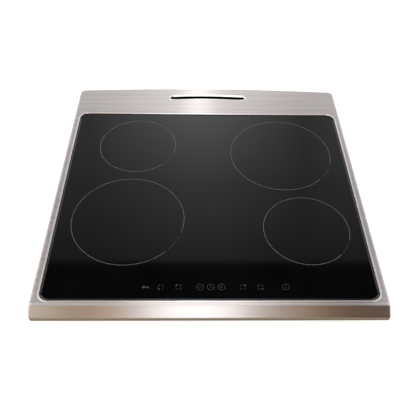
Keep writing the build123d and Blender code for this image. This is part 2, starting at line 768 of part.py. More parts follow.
def make_transistors(side):
    """Power transistors and a rectifier clamped to the heat sink's spine."""
    low = BOARD_Z + BOARD_T
    face = SINK_X[0]
    thick, wide, tall = TRANSISTOR_BODY
    devices = []
    for index in range(TRANSISTORS):
        y = SINK_Y[0] + TRANSISTOR_START + index * TRANSISTOR_PITCH
        body = block((face - thick, face), (y, y + wide), (low + LEG_STEP, low + LEG_STEP + tall))
        first_leg = y + wide / 2 - LEG_STEP - LEG_W / 2
        legs = [block((face - thick / 2 - LEG_T / 2, face - thick / 2 + LEG_T / 2),
                      (first_leg + step * LEG_STEP, first_leg + step * LEG_STEP + LEG_W),
                      (low, low + LEG_STEP)) for step in range(3)]
        devices.append(joined([body, *legs]))
    devices.append(block((face - thick, face), RECTIFIER_Y, (low + LEG_STEP, low + LEG_STEP + tall)))
    return mirrored(group(devices), side)


def make_capacitors(side):
    """Box film capacitors on a power board."""
    low = BOARD_Z + BOARD_T
    boxes = []
    for x, y, width, depth, height in CAPACITORS:
        box = block((x, x + width), (y, y + depth), (low, low + height))
        edges = box.edges().filter_by(Axis.Z) + box.edges().group_by(Axis.Z)[-1]
        boxes.append(fillet(edges, CAPACITOR_ROUND))
    return mirrored(group(boxes), side)


# ---------------------------------------------------------------- fans

def scroll_face(inset):
    """Fan housing seen from above: a drum with a straight mouth to the front."""
    near = SINK_X[0] - FAN_X + inset
    far = FAN_R - inset
    length = FAN_MOUTH + inset
    return Circle(far) + Pos((near + far) / 2, -length / 2) * Rectangle(far - near, length)


def make_fan_housing(side):
    """Scroll housing with a bottom inlet, open mouth to the front, and a fixed spindle."""
    wall = HOUSING_WALL
    height = FAN_TOP - TRAY_SHEET
    outer = extrude(scroll_face(0), height)
    inner = extrude(scroll_face(wall), height - 2 * wall)
    shell = outer - Pos(0, 0, wall) * inner - drum(0, 0, INLET_R, -1, wall + 1)
    spoke = block((MOTOR_R - 2, INLET_R + 1), (-SPOKE_W / 2, SPOKE_W / 2), (0, wall))
    spokes = [Rot(0, 0, angle) * spoke for angle in SPOKE_ANGLES]
    motor = drum(0, 0, MOTOR_R, 0, MOTOR_TOP)
    spindle = drum(0, 0, SPINDLE_R, 0, height - wall)
    housing = joined([shell, motor, spindle, *spokes])
    return mirrored(Pos(FAN_X, FAN_Y, TRAY_SHEET) * housing, side)


def make_fan_rotor(side):
    """Blower wheel: hub on the spindle, top disc, curved blades and a tie ring."""
    bore = SPINDLE_R + SPINDLE_PLAY
    disc = drum(0, 0, ROTOR_R, ROTOR_TOP - ROTOR_DISC_T, ROTOR_TOP)
    hub = drum(0, 0, HUB_OUTER, TRAY_SHEET + MOTOR_TOP + 2.5, ROTOR_TOP)
    ring = tube(0, 0, ROTOR_R, ROTOR_R - TIE_RING, ROTOR_LOW, ROTOR_LOW + TIE_RING)
    arc = ThreePointArc((ROTOR_R - 10, 0), (ROTOR_R - 4.6, 1.9), (ROTOR_R - 0.8, 6))
    blade_top = ROTOR_TOP - ROTOR_DISC_T / 2
    blade = Pos(0, 0, ROTOR_LOW) * extrude(trace(arc, BLADE_T), blade_top - ROTOR_LOW)
    blades = [Rot(0, 0, 360 / BLADES * index) * blade for index in range(BLADES)]
    wheel = joined([disc, hub, ring, *blades]) - drum(0, 0, bore, 0, FAN_TOP)
    return mirrored(Pos(FAN_X, FAN_Y, 0) * wheel, side)


# ---------------------------------------------------------------- mains filter

def make_filter_board():
    """Mains filter board on four snap posts."""
    board = block(FILTER_X, FILTER_Y, (BOARD_Z, BOARD_Z + BOARD_T))
    inset = FILTER_POST_INSET
    posts = [drum(x, y, FILTER_POST_R, TRAY_SHEET, BOARD_Z)
             for x in (FILTER_X[0] + inset, FILTER_X[1] - inset)
             for y in (FILTER_Y[0] + inset, FILTER_Y[1] - inset)]
    return joined([board, *posts])


def make_filter_parts():
    """Two ring chokes, two capacitors and a relay."""
    low = BOARD_Z + BOARD_T
    parts = []
    for x in CHOKE_X:
        ring = Pos(x, CHOKE_Y, low + CHOKE_LIFT) * Torus(CHOKE_R, CHOKE_WIRE_R)
        foot = drum(x, CHOKE_Y, CHOKE_R + 2, low, low + CHOKE_LIFT - CHOKE_WIRE_R + 1)
        parts.append(joined([ring, foot]))
    for x, y, width, depth, height in FILTER_BOXES:
        parts.append(block((x, x + width), (y, y + depth), (low, low + height)))
    return group(parts)


# ---------------------------------------------------------------- touch controls

def make_touch_carrier():
    """Moulded trough on legs that holds the touch board under the symbols."""
    wall = TROUGH_WALL
    y = KEYS_Y + GLASS_Y
    low_x, high_x = TOUCH_X
    low_y, high_y = y - TOUCH_HALF, y + TOUCH_HALF
    floor = TOUCH_BOARD_Z - TROUGH_DROP
    top = GLASS_LOW - SEAL_T - SHEET - 0.3
    shell = block((low_x, high_x), (low_y, high_y), (floor, top))
    inner_y = (low_y + wall, high_y - wall)
    hollow = block((low_x + wall, high_x - wall), inner_y, (floor + wall, TOP_Z))
    ribs = [block((x, x + SHELF_RIB), inner_y, (floor + wall, TOUCH_BOARD_Z))
            for x in (low_x + wall, 0, high_x - wall - SHELF_RIB)]
    inset = 2 * TROUGH_LEG_R
    legs = [tube(x, y_leg, TROUGH_LEG_R, TROUGH_LEG_R / 2, TRAY_SHEET, floor)
            for x in (low_x + inset, high_x - inset) for y_leg in (low_y + 6, high_y - 6)]
    return joined([shell - hollow, *ribs, *legs])


def make_touch_board():
    """Touch circuit board."""
    y = KEYS_Y + GLASS_Y
    inset = TROUGH_WALL + 0.5
    x_span = (TOUCH_X[0] + inset, TOUCH_X[1] - inset)
    y_span = (y - TOUCH_HALF + inset, y + TOUCH_HALF - inset)
    return block(x_span, y_span, (TOUCH_BOARD_Z, TOUCH_BOARD_Z + BOARD_T))


def make_touch_pads():
    """Conductive pads between the touch board and the glass, one behind each symbol."""
    y = KEYS_Y + GLASS_Y
    low = TOUCH_BOARD_Z + BOARD_T
    return group(tube(x, y, PAD_R, PAD_R - PAD_WALL, low, GLASS_LOW) for x in KEYS_X)


# ---------------------------------------------------------------- mains terminals

def hinge_axis():
    """Y and Z of the terminal cover's hinge."""
    return TERM_Y[1] + COVER_GAP + COVER_T / 2, TERM_Z[0] + HINGE_RISE


def cross_drum(x_low, x_high, y, z, radius):
    """Cylinder along X."""
    bottom = (Align.CENTER, Align.CENTER, Align.MIN)
    return Pos(x_low, y, z) * Rot(0, 90, 0) * Cylinder(radius, x_high - x_low, align=bottom)


def make_terminal_box():
    """Box behind the tray, open to the rear, with a hinge ear at each end of its lower edge."""
    wall = TERM_WALL
    outer = block(TERM_X, TERM_Y, TERM_Z)
    inner = block((TERM_X[0] + wall, TERM_X[1] - wall), (TERM_Y[0] + wall, TERM_Y[1] + 1),
                  (TERM_Z[0] + wall, TERM_Z[1] - wall))
    y, z = hinge_axis()
    parts = [outer - inner]
    for low, high in ((TERM_X[0] - EAR_T, TERM_X[0]), (TERM_X[1], TERM_X[1] + EAR_T)):
        lug = block((low, high), (TERM_Y[1] - 12, y), (z - EAR_R, z + EAR_R))
        parts.append(joined([lug, cross_drum(low, high, y, z, EAR_R)]))
    box = joined(parts)
    bore = cross_drum(TERM_X[0] - EAR_T - 1, TERM_X[1] + EAR_T + 1, y, z, HINGE_PIN_R + HINGE_PLAY)
    throat = cross_drum(TERM_X[0] - 1, TERM_X[0] + wall + 1, CABLE_Y, CABLE_Z, GROMMET_WAIST)
    return box - bore - throat - wire_passage()


def make_terminal_cover():
    """Cover that swings down to the rear on two pins moulded at its lower corners."""
    y, z = hinge_axis()
    inner_y = TERM_Y[1] + COVER_GAP
    outer_y = inner_y + COVER_T
    x_span = (TERM_X[0] + COVER_PLAY, TERM_X[1] - COVER_PLAY)
    panel = block(x_span, (inner_y, outer_y), (z, TERM_Z[1]))
    barrel = cross_drum(*x_span, y, z, COVER_T / 2)
    reach = EAR_T + COVER_PLAY
    pins = [cross_drum(x_span[0] - reach, x_span[0], y, z, HINGE_PIN_R),
            cross_drum(x_span[1], x_span[1] + reach, y, z, HINGE_PIN_R)]
    middle = sum(TERM_X) / 2
    grip = block((middle - GRIP_HALF, middle + GRIP_HALF), (outer_y - 0.5, outer_y + GRIP_DEPTH),
                 (TERM_Z[1] - GRIP_DEPTH, TERM_Z[1]))
    return joined([panel, barrel, *pins, grip])


def terminal_xs():
    """Middles of the screw terminals."""
    return [BLOCK_X[0] + TERMINAL_INSET + TERMINAL_PITCH * index for index in range(TERMINALS)]


def make_terminal_block():
    """Block with a wire entry and a screw well for each terminal."""
    floor = BLOCK_Z[0] + WELL_FLOOR
    front = BLOCK_Y[1] - ENTRY_DEPTH
    body = block(BLOCK_X, BLOCK_Y, BLOCK_Z)
    wells = [drum(x, BLOCK_SCREW_Y, WELL_R, floor, BLOCK_Z[1] + 1) for x in terminal_xs()]
    entries = [block((x - WELL_R, x + WELL_R), (front, BLOCK_Y[1] + 1), (floor, floor + ENTRY_H))
               for x in terminal_xs()]
    return body - wells - entries


def make_terminal_screws():
    """Slotted screws in the terminal block."""
    low = BLOCK_Z[0] + WELL_FLOOR + ENTRY_H + 0.5
    high = BLOCK_Z[1] - 1
    screws = []
    for x in terminal_xs():
        screw = drum(x, BLOCK_SCREW_Y, TERMINAL_SCREW_R, low, high)
        slot = block((x - 4, x + 4), (BLOCK_SCREW_Y - 0.5, BLOCK_SCREW_Y + 0.5), (high - 1.2, high + 1))
        screws.append(screw - slot)
    return group(screws)


def make_cable_clamp():
    """Saddle inside the cable entry, screwed to the box's floor."""
    low = TERM_Z[0] + TERM_WALL
    half = CABLE_R + CLAMP_WALL
    front, rear = CABLE_Y - half - 7, CABLE_Y + half + 5
    saddle = block(CLAMP_X, (CABLE_Y - half, CABLE_Y + half), (low, CABLE_Z + half))
    saddle = fillet(saddle.edges().filter_by(Axis.X).group_by(Axis.Z)[-1], half - 1)
    feet = block(CLAMP_X, (front, rear), (low, low + CLAMP_WALL))
    bore = cross_drum(CLAMP_X[0] - 1, CLAMP_X[1] + 1, CABLE_Y, CABLE_Z, CABLE_R)
    screws = []
    for y in (front + 3.5, rear - 2.5):
        head = drum(sum(CLAMP_X) / 2, y, 2.2, low + CLAMP_WALL, low + CLAMP_WALL + 2)
        screws.append(fillet(head.edges().group_by(Axis.Z)[-1], 0.6))
    return joined([saddle, feet, *screws]) - bore


def make_cable_grommet():
    """Rubber grommet in the terminal box's side wall, with flanges on both faces."""
    wall_out = TERM_X[0]
    wall_in = wall_out + TERM_WALL
    flange_r = GROMMET_WAIST + 2.5
    waist = cross_drum(wall_out, wall_in, CABLE_Y, CABLE_Z, GROMMET_WAIST - 0.1)
    flanges = [cross_drum(wall_out - GROMMET_FLANGE, wall_out, CABLE_Y, CABLE_Z, flange_r),
               cross_drum(wall_in, wall_in + GROMMET_FLANGE, CABLE_Y, CABLE_Z, flange_r)]
    bore = cross_drum(wall_out - 4, wall_in + 4, CABLE_Y, CABLE_Z, CABLE_R)
    return joined([waist, *flanges]) - bore


# ---------------------------------------------------------------- inner wiring

def make_coil_leads():
    """Two wires from each coil, over the plate and down through it to the power board."""
    leads = []
    top = FORMER_LOW
    end = BOARD_Z + BOARD_T
    for _, start, hole in COIL_LEADS:
        along = atan2(hole[1] - start[1], hole[0] - start[0])
        aside_x, aside_y = -sin(along) * LEAD_PITCH / 2, cos(along) * LEAD_PITCH / 2
        for sign in (-1, 1):
            dx, dy = sign * aside_x, sign * aside_y
            points = [(start[0] + dx, start[1] + dy, top), (start[0] + dx, start[1] + dy, LEAD_Z),
                      (hole[0] + dx, hole[1] + dy, LEAD_Z), (hole[0] + dx, hole[1] + dy, end)]
            leads.append(wire(points, LEAD_R, LEAD_BEND))
    return group(leads)


def make_supply_wires():
    """Wires from the terminal block through the tray's rear wall to the filter board."""
    wires = []
    y = FILTER_Y[1] + 6
    for index in range(SUPPLY_WIRES):
        z = SUPPLY_Z + SUPPLY_RISE * index
        x = SUPPLY_X + SUPPLY_STEP * index
        end_x = FILTER_X[1] - 8 - SUPPLY_STEP * index
        points = [(x, BLOCK_Y[0], z), (x, y, z), (end_x, y, z), (end_x, y - 12, z),
                  (end_x, y - 12, BOARD_Z + BOARD_T)]
        wires.append(wire(points, SUPPLY_R, SUPPLY_BEND))
    return group(wires)


def make_ribbon_cable():
    """Flat cable from the touch board down to the right power board."""
    drop_y = PLATE_Y[0] - 8
    corners = ((RIBBON_START_Y, RIBBON_HIGH), (drop_y, RIBBON_HIGH), (drop_y, RIBBON_LOW),
               (RIBBON_END_Y, RIBBON_LOW), (RIBBON_END_Y, BOARD_Z + BOARD_T))
    side_view = FilletPolyline(*corners, radius=RIBBON_BEND)
    band = extrude(Plane.YZ * trace(side_view, RIBBON_T), RIBBON_W)
    half = RIBBON_T / 2
    riser = block((0, RIBBON_W), (RIBBON_START_Y - half, RIBBON_START_Y + half),
                  (RIBBON_HIGH - half, TOUCH_BOARD_Z - TROUGH_DROP))
    return Pos(RIBBON_X, 0, 0) * joined([band, riser])


# ---------------------------------------------------------------- everything

def make_nodes():
    """Every sub-part, by node name."""
    nodes = {
        "top_frame": make_top_frame(),
        "glass_ceramic": make_glass(),
        "glass_seal": make_seal(),
        "vent_duct": make_vent_duct(),
        "front_rail": make_front_rail(),
        "rear_rail": make_rear_rail(),
        "bottom_tray": make_bottom_tray(),
        "tray_screws": make_tray_screws(),
        "heat_sensors": group(heat_sensor(x, y + GLASS_Y) for _, x, y, _ in ZONES),
        "coil_springs": make_coil_springs(),
        "plate_pillars": make_plate_pillars(),
        "filter_board": make_filter_board(),
        "filter_parts": make_filter_parts(),
        "touch_carrier": make_touch_carrier(),
        "touch_board": make_touch_board(),
        "touch_pads": make_touch_pads(),
        "terminal_box": make_terminal_box(),
        "terminal_block": make_terminal_block(),
        "terminal_screws": make_terminal_screws(),
        "terminal_cover": make_terminal_cover(),
        "cable_clamp": make_cable_clamp(),
        "cable_grommet": make_cable_grommet(),
        "coil_leads": make_coil_leads(),
        "supply_wires": make_supply_wires(),
        "ribbon_cable": make_ribbon_cable(),
    }
    for name, x, y, ring in ZONES:
        for kind, make in (("former", make_coil_former), ("winding", make_coil_winding),
                           ("ferrites", make_coil_ferrites), ("mat", make_coil_mat)):
            nodes[f"coil_{kind}_{name}"] = make(x, y + GLASS_Y, ring)
    for side, name in ((-1, "left"), (1, "right")):
        nodes[f"side_rail_{name}"] = make_side_rail(side)
        nodes[f"coil_plate_{name}"] = make_coil_plate(side)
        nodes[f"board_carrier_{name}"] = make_board_carrier(side)
        nodes[f"power_board_{name}"] = make_power_board(side)
        nodes[f"heat_sink_{name}"] = make_heat_sink(side)
        nodes[f"transistors_{name}"] = make_transistors(side)
        nodes[f"capacitors_{name}"] = make_capacitors(side)
        nodes[f"fan_housing_{name}"] = make_fan_housing(side)
        nodes[f"fan_rotor_{name}"] = make_fan_rotor(side)
    return nodes


if __name__ == "__main__":
    os.makedirs("parts", exist_ok=True)
    for node, part in make_nodes().items():
        export_step(part, f"parts/{node}.step")
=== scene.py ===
import json
from math import cos, pi, radians, sin

import bpy
from mathutils import Matrix, Vector

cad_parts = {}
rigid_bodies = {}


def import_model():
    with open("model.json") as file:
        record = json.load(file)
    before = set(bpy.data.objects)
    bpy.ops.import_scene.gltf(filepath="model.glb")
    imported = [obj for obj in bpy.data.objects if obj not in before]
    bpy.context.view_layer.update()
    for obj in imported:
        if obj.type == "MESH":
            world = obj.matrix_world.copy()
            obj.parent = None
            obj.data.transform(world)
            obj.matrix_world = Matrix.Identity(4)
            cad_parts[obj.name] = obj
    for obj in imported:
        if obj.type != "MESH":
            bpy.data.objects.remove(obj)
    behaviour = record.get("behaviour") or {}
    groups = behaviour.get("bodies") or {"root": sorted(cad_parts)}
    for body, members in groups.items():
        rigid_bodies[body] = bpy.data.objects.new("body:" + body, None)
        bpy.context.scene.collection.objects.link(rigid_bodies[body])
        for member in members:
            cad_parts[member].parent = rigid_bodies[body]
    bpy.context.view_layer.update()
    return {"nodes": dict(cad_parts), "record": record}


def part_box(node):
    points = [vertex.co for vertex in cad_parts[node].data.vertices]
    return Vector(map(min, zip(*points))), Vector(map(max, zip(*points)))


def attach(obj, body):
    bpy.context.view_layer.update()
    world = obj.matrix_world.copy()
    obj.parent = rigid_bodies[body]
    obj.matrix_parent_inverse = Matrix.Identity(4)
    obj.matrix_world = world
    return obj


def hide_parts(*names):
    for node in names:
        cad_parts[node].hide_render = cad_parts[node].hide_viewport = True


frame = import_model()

# Electric induction cooktop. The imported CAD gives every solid; this script adds the printing on the
# glass, the wound coils, the finishes, the floor, the light and the camera. Metres, in the frame's axes.

MM = 0.001
NODES = frame["nodes"]

# Places read from the frame, which the rest follows.
GLASS_LOW, GLASS_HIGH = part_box("glass_ceramic")
GLASS_MID = (GLASS_LOW + GLASS_HIGH) / 2
GLASS_TOP = GLASS_HIGH.z
ZONES = ("rear_left", "front_left", "rear_right", "front_right")

# Printing on the glass.
INK_HEIGHT = 0.04 * MM
RING_LINE = 0.8 * MM
RING_MARGIN = 2 * MM          # from the coil former's edge to the ring
RING_BREAK = (-46.0, -18.0)   # degrees where a ring's line is left open
FAINT_PART = (-42.0, -23.0)   # degrees of the faint line inside the break
FAINT_LINE = 0.45 * MM
SYMBOL_LINE = 0.40 * MM
BOLD_LINE = 1.15 * MM
SYMBOL_RADIUS = 6.0 * MM
QUARTER_GAP = 17.0            # degrees left open at each end of a selector's quarter arcs

# Touch keys: their line, and the place of each symbol along it in millimetres, from the middle of the glass.
KEYS_Y = -217.75 * MM
LOCK_BOW, LOCK_SHANK = -113.5, -111.0
SELECTORS = ((-84.7, 2), (-55.0, 1), (54.8, 0), (84.7, 3))    # place, and which quarter arc is bold
MINUS, TIMER, PLUS = -18.0, 0.0, 18.0
POWER = 127.8

# Vent slot: depths below the face of the glass.
ROLL_DEPTH = 0.15 * MM        # the polished roll starts here
SLOT_SHADE_DEPTH = 2.8 * MM       # the painted shade starts here: below it the sheet over the duct is coloured near black

# Litz wire.
HUB_RADIUS = 14.0 * MM        # the coil former's hub, inside the first turn
STRANDS = 6
LAY_LENGTH = 26.0 * MM        # one full twist of the strands
WIRE_STEP = 2.6 * MM          # between sections along the wire
WIRE_FILL = 0.99              # of the winding's height, so that the strands stay inside it

# Camera, from the middle of the face of the glass.
CAMERA_PLACE = Vector((-23.6, -700.55, 750.7)) * MM
CAMERA_TURN = (2.151, 48.825, 1.815)    # degrees to the right, down, and round its line of sight
CAMERA_LENS = 44.7


# ---------------------------------------------------------------- small helpers

def srgb(code):
    """Linear colour from an sRGB hex code such as "8a8c90"."""
    values = [int(code[i:i + 2], 16) / 255 for i in (0, 2, 4)]
    linear = [v / 12.92 if v <= 0.04045 else ((v + 0.055) / 1.055) ** 2.4 for v in values]
    return (*linear, 1.0)


def grey(value):
    """Neutral light or colour of a linear value, which may pass 1."""
    return (value, value, value, 1.0)


def add(tree, kind, inputs=None, out=0, stops=(), **settings):
    """Add a node and return one of its outputs. An input is a value or another node's output; stops
    are the (position, colour) pairs of a colour ramp."""
    made = tree.nodes.new(kind)
    for name, value in settings.items():
        setattr(made, name, value)
    for name, value in (inputs or {}).items():
        socket = made.inputs[name]
        if isinstance(value, bpy.types.NodeSocket):
            tree.links.new(value, socket)
        else:
            socket.default_value = value
    if stops:
        elements = made.color_ramp.elements
        while len(elements) < len(stops):
            elements.new(0.5)
        for element, (position, colour) in zip(elements, stops):
            element.position = position
            element.color = colour
    return made.outputs[out] if made.outputs else None


def surface(name, colour, roughness, metallic=0.0, **sockets):
    """Material with one Principled shader; returns the material, its tree and the shader."""
    made = bpy.data.materials.new(name)
    made.use_nodes = True
    tree = made.node_tree
    shader = tree.nodes["Principled BSDF"]
    values = {"Base Color": srgb(colour), "Roughness": roughness, "Metallic": metallic}
    values.update({socket.replace("_", " "): value for socket, value in sockets.items()})
    for socket, value in values.items():
        shader.inputs[socket].default_value = value
    made.diffuse_color = srgb(colour)
    return made, tree, shader


def sized(tree, sizes, turn=(0, 0, 0)):
    """Object coordinates counted in units of the given sizes in millimetres."""
    spot = add(tree, "ShaderNodeTexCoord", out="Object")
    turned = add(tree, "ShaderNodeVectorRotate", {"Vector": spot, "Rotation": turn},
                 rotation_type="EULER_XYZ")
    return add(tree, "ShaderNodeVectorMath", {0: turned, 1: [1 / (size * MM) for size in sizes]},
               operation="MULTIPLY")


def mottle(tree, sizes, detail=2.0):
    """Soft random pattern from 0 to 1, with patches of the given sizes in millimetres."""
    cloud = add(tree, "ShaderNodeTexNoise", {"Vector": sized(tree, sizes), "Scale": 1.0, "Detail": detail})
    return add(tree, "ShaderNodeMapRange", {"Value": cloud, "From Min": 0.3, "From Max": 0.7})


def cells(tree, sizes, out="Color", **settings):
    """Random cells of the given sizes in millimetres."""
    return add(tree, "ShaderNodeTexVoronoi", {"Vector": sized(tree, sizes), "Scale": 1.0}, out, **settings)


def lines(tree, sizes, turn=(0, 0, 0)):
    """Parallel ridges across X, one for each size along X in millimetres."""
    spot = sized(tree, [size * pi / 10 for size in sizes], turn)
    return add(tree, "ShaderNodeTexWave", {"Vector": spot, "Scale": 1.0}, 1)


def within_plan(tree, spot, low, high):
    """1 where a place lies inside a box as seen from above, and 0 elsewhere."""
    reach = (high - low) / 2
    off = add(tree, "ShaderNodeVectorMath", {0: spot, 1: (low + high) / 2}, operation="SUBTRACT")
    spread = add(tree, "ShaderNodeVectorMath", {0: off, 1: (1 / reach.x, 1 / reach.y, 0)},
                 operation="MULTIPLY")
    away = add(tree, "ShaderNodeVectorMath", {0: spread}, operation="ABSOLUTE")
    away_x, away_y, _ = add(tree, "ShaderNodeSeparateXYZ", {0: away}).node.outputs
    farthest = add(tree, "ShaderNodeMath", {0: away_x, 1: away_y}, operation="MAXIMUM")
    return add(tree, "ShaderNodeMath", {0: farthest, 1: 1.0}, operation="LESS_THAN")


def tone(tree, shader, pattern, dark, light):
    """Colour the surface from dark to light by a pattern."""
    colour = add(tree, "ShaderNodeValToRGB", {0: pattern}, stops=((0.0, srgb(dark)), (1.0, srgb(light))))
    tree.links.new(colour, shader.inputs["Base Color"])


def gloss(tree, shader, pattern, low, high):
    """Roughness from low to high by a pattern."""
    rough = add(tree, "ShaderNodeMapRange", {"Value": pattern, "To Min": low, "To Max": high})
    tree.links.new(rough, shader.inputs["Roughness"])


def relief(tree, shader, pattern, depth):
    """Raise the surface by a pattern, to a depth in millimetres."""
    bent = add(tree, "ShaderNodeBump", {"Height": pattern, "Distance": depth * MM})
    tree.links.new(bent, shader.inputs["Normal"])


# ---------------------------------------------------------------- finishes of the outer parts

def brushed_stainless():
    """Grade 304 stainless sheet, brushed from side to side before it is pressed, so the streaks turn
    down with the sheet at its sides. Highlights draw out across the streaks. The bead and the roll
    round the vent slot are polished. Deep in the slot the sheet is coloured near black as painted shade, for
    the shadow inside the slot."""
    made, tree, shader = surface("Brushed stainless steel", "cac4c3", 0.24, 1.0,
                                 Anisotropic=0.95, Anisotropic_Rotation=0.25)
    spot = add(tree, "ShaderNodeTexCoord", out="Object")
    x, y, z = add(tree, "ShaderNodeSeparateXYZ", {0: spot}).node.outputs
    facing = add(tree, "ShaderNodeNewGeometry", out="True Normal")
    sideways = add(tree, "ShaderNodeMath", {0: add(tree, "ShaderNodeSeparateXYZ", {0: facing})},
                   operation="ABSOLUTE")
    skirt = add(tree, "ShaderNodeMath", {0: sideways, 1: 0.75}, operation="GREATER_THAN")
    along = add(tree, "ShaderNodeMix", {"Factor": skirt, "A": x, "B": z})
    down = add(tree, "ShaderNodeMix", {"Factor": skirt, "A": z, "B": 0.0})
    across = add(tree, "ShaderNodeMath", {0: y, 1: down}, operation="SUBTRACT")
    sheet = add(tree, "ShaderNodeCombineXYZ", {0: along, 1: across})
    # Streaks of 1 mm are the finest that show; the real ones are a tenth of that.
    streaks = []
    for length, width in ((110 * MM, 1.0 * MM), (420 * MM, 6.0 * MM)):
        counted = add(tree, "ShaderNodeVectorMath", {0: sheet, 1: (1 / length, 1 / width, 1)},
                      operation="MULTIPLY")
        streaks.append(add(tree, "ShaderNodeTexNoise", {"Vector": counted, "Scale": 1.0, "Detail": 3.0}))
    brushed = add(tree, "ShaderNodeMix", {"Factor": 0.75, "A": streaks[0], "B": streaks[1]})
    even = add(tree, "ShaderNodeMapRange", {"Value": brushed, "From Min": 0.35, "From Max": 0.65})
    plain = add(tree, "ShaderNodeValToRGB", {0: even}, stops=((0.0, srgb("c3bdbc")), (1.0, srgb("cdc7c6"))))
    grain = add(tree, "ShaderNodeMapRange", {"Value": even, "To Min": 0.22, "To Max": 0.26})
    bead = add(tree, "ShaderNodeMapRange", {"Value": z, "From Min": GLASS_TOP + 0.1 * MM,
                                            "From Max": GLASS_TOP + 0.5 * MM})
    # Over the duct, below the sheet's upper face, the polished roll of the slot shows first. Lower down is
    # the slot's turned-down edge, coloured near black as painted shade for the shadow inside the slot.
    over_duct = within_plan(tree, spot, *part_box("vent_duct"))
    sunk = add(tree, "ShaderNodeMath", {0: z, 1: GLASS_TOP - ROLL_DEPTH}, operation="LESS_THAN")
    deep = add(tree, "ShaderNodeMath", {0: z, 1: GLASS_TOP - SLOT_SHADE_DEPTH}, operation="LESS_THAN")
    roll = add(tree, "ShaderNodeMath", {0: over_duct, 1: sunk}, operation="MULTIPLY")
    slot_shade_mask = add(tree, "ShaderNodeMath", {0: over_duct, 1: deep}, operation="MULTIPLY")
    polished = add(tree, "ShaderNodeMath", {0: bead, 1: roll}, operation="MAXIMUM")
    bright = add(tree, "ShaderNodeMix", {"Factor": polished, 6: plain, 7: srgb("e6e3e1")}, 2,
                 data_type="RGBA")
    # Painted shade: deep in the vent slot the sheet is coloured near black, for the shadow there.
    colour = add(tree, "ShaderNodeMix", {"Factor": slot_shade_mask, 6: bright, 7: srgb("0b0b0c")}, 2, data_type="RGBA")
    tree.links.new(colour, shader.inputs["Base Color"])
    rough = add(tree, "ShaderNodeMix", {"Factor": polished, "A": grain, "B": 0.2})
    tree.links.new(rough, shader.inputs["Roughness"])
    flat = add(tree, "ShaderNodeMix", {"Factor": skirt, 4: (1, 0, 0), 5: (0, 0, 1)}, 1, data_type="VECTOR")
    tree.links.new(flat, shader.inputs["Tangent"])
    relief(tree, shader, even, 0.004)
    return made


def black_glass_ceramic():
    """Black glass-ceramic, drawn and fire polished: a deep black body under a mirror surface, with
    the faint haze that wiping leaves."""
    made, tree, shader = surface("Black glass-ceramic", "060607", 0.03, IOR=1.54)
    haze = mottle(tree, (70, 70, 70), 3.0)
    gloss(tree, shader, haze, 0.015, 0.04)
    tone(tree, shader, haze, "050506", "08080a")
    return made


def black_silicone():
    """Silicone sealant, tooled smooth: soft satin black with a slightly uneven skin."""
    made, tree, shader = surface("Black silicone sealant", "141415", 0.5, IOR=1.41)
    skin = mottle(tree, (6, 6, 6), 3.0)
    tone(tree, shader, skin, "101011", "1b1b1d")
    gloss(tree, shader, skin, 0.42, 0.6)
    relief(tree, shader, skin, 0.05)
    return made


def galvanised_steel():
    """Hot-dip galvanised sheet: flat grey spangle of zinc crystals, each turned its own way, with
    dull patches."""
    made, tree, shader = surface("Galvanised steel sheet", "a9adb0", 0.42, 1.0)
    crystal = cells(tree, (9, 9, 9))
    shade = add(tree, "ShaderNodeSeparateXYZ", {0: crystal})
    frost = mottle(tree, (1.2, 1.2, 1.2), 3.0)
    spangle = add(tree, "ShaderNodeMix", {"Factor": 0.3, "A": shade, "B": frost})
    tone(tree, shader, spangle, "8f9498", "bfc2c4")
    gloss(tree, shader, spangle, 0.34, 0.54)
    relief(tree, shader, frost, 0.01)
    return made


def black_enamelled_steel():
    """Steel duct under matt black enamel: soft, slightly pebbled and darkest inside."""
    made, tree, shader = surface("Matt black enamel on steel", "0b0b0c", 0.6)
    peel = mottle(tree, (2.5, 2.5, 2.5), 3.0)
    tone(tree, shader, peel, "080809", "111112")
    gloss(tree, shader, peel, 0.5, 0.7)
    relief(tree, shader, peel, 0.03)
    return made


def zinc_plated_steel():
    """Bright zinc plate with clear passivation: a hard silver shine with faint blue and straw."""
    made, tree, shader = surface("Zinc plated steel", "c6c8cb", 0.28, 1.0)
    film = mottle(tree, (4, 4, 4), 2.0)
    tone(tree, shader, film, "b9c2cc", "d3cfbe")
    gloss(tree, shader, mottle(tree, (0.8, 0.8, 0.8)), 0.2, 0.38)
    return made


def dark_abs():
    """Injection moulded ABS with a spark-eroded grain: dark grey, broken satin shine."""
    made, tree, shader = surface("Moulded dark ABS", "252527", 0.5, IOR=1.53)
    grain = mottle(tree, (0.9, 0.9, 0.9), 2.0)
    tone(tree, shader, mottle(tree, (30, 30, 30)), "222224", "2b2b2e")
    gloss(tree, shader, grain, 0.42, 0.6)
    relief(tree, shader, grain, 0.05)
    return made


def black_rubber():
    """Moulded EPDM rubber: deep matt black with a dusty bloom."""
    made, tree, shader = surface("Moulded black rubber", "121213", 0.7, IOR=1.5)
    bloom = mottle(tree, (5, 5, 5), 4.0)
    tone(tree, shader, bloom, "0e0e0f", "202021")
    gloss(tree, shader, bloom, 0.6, 0.82)
    relief(tree, shader, mottle(tree, (0.6, 0.6, 0.6)), 0.03)
    return made


# ---------------------------------------------------------------- finishes of the inner parts

def spring_steel():
    """Tempered spring strip: blue oxide that runs to straw, along fine rolling marks."""
    made, tree, shader = surface("Blued spring steel", "59616e", 0.3, 1.0)
    tone(tree, shader, mottle(tree, (12, 12, 12)), "454f66", "7f7766")
    gloss(tree, shader, mottle(tree, (0.4, 8, 8)), 0.22, 0.4)
    return made


def sensor_ceramic():
    """Steatite ceramic, pressed and fired: off-white, chalky, with fine pores."""
    made, tree, shader = surface("Fired steatite ceramic", "e4dfd0", 0.65, IOR=1.6)
    pores = mottle(tree, (0.7, 0.7, 0.7), 3.0)
    tone(tree, shader, pores, "d3ccba", "ece8dc")
    relief(tree, shader, pores, 0.04)
    return made


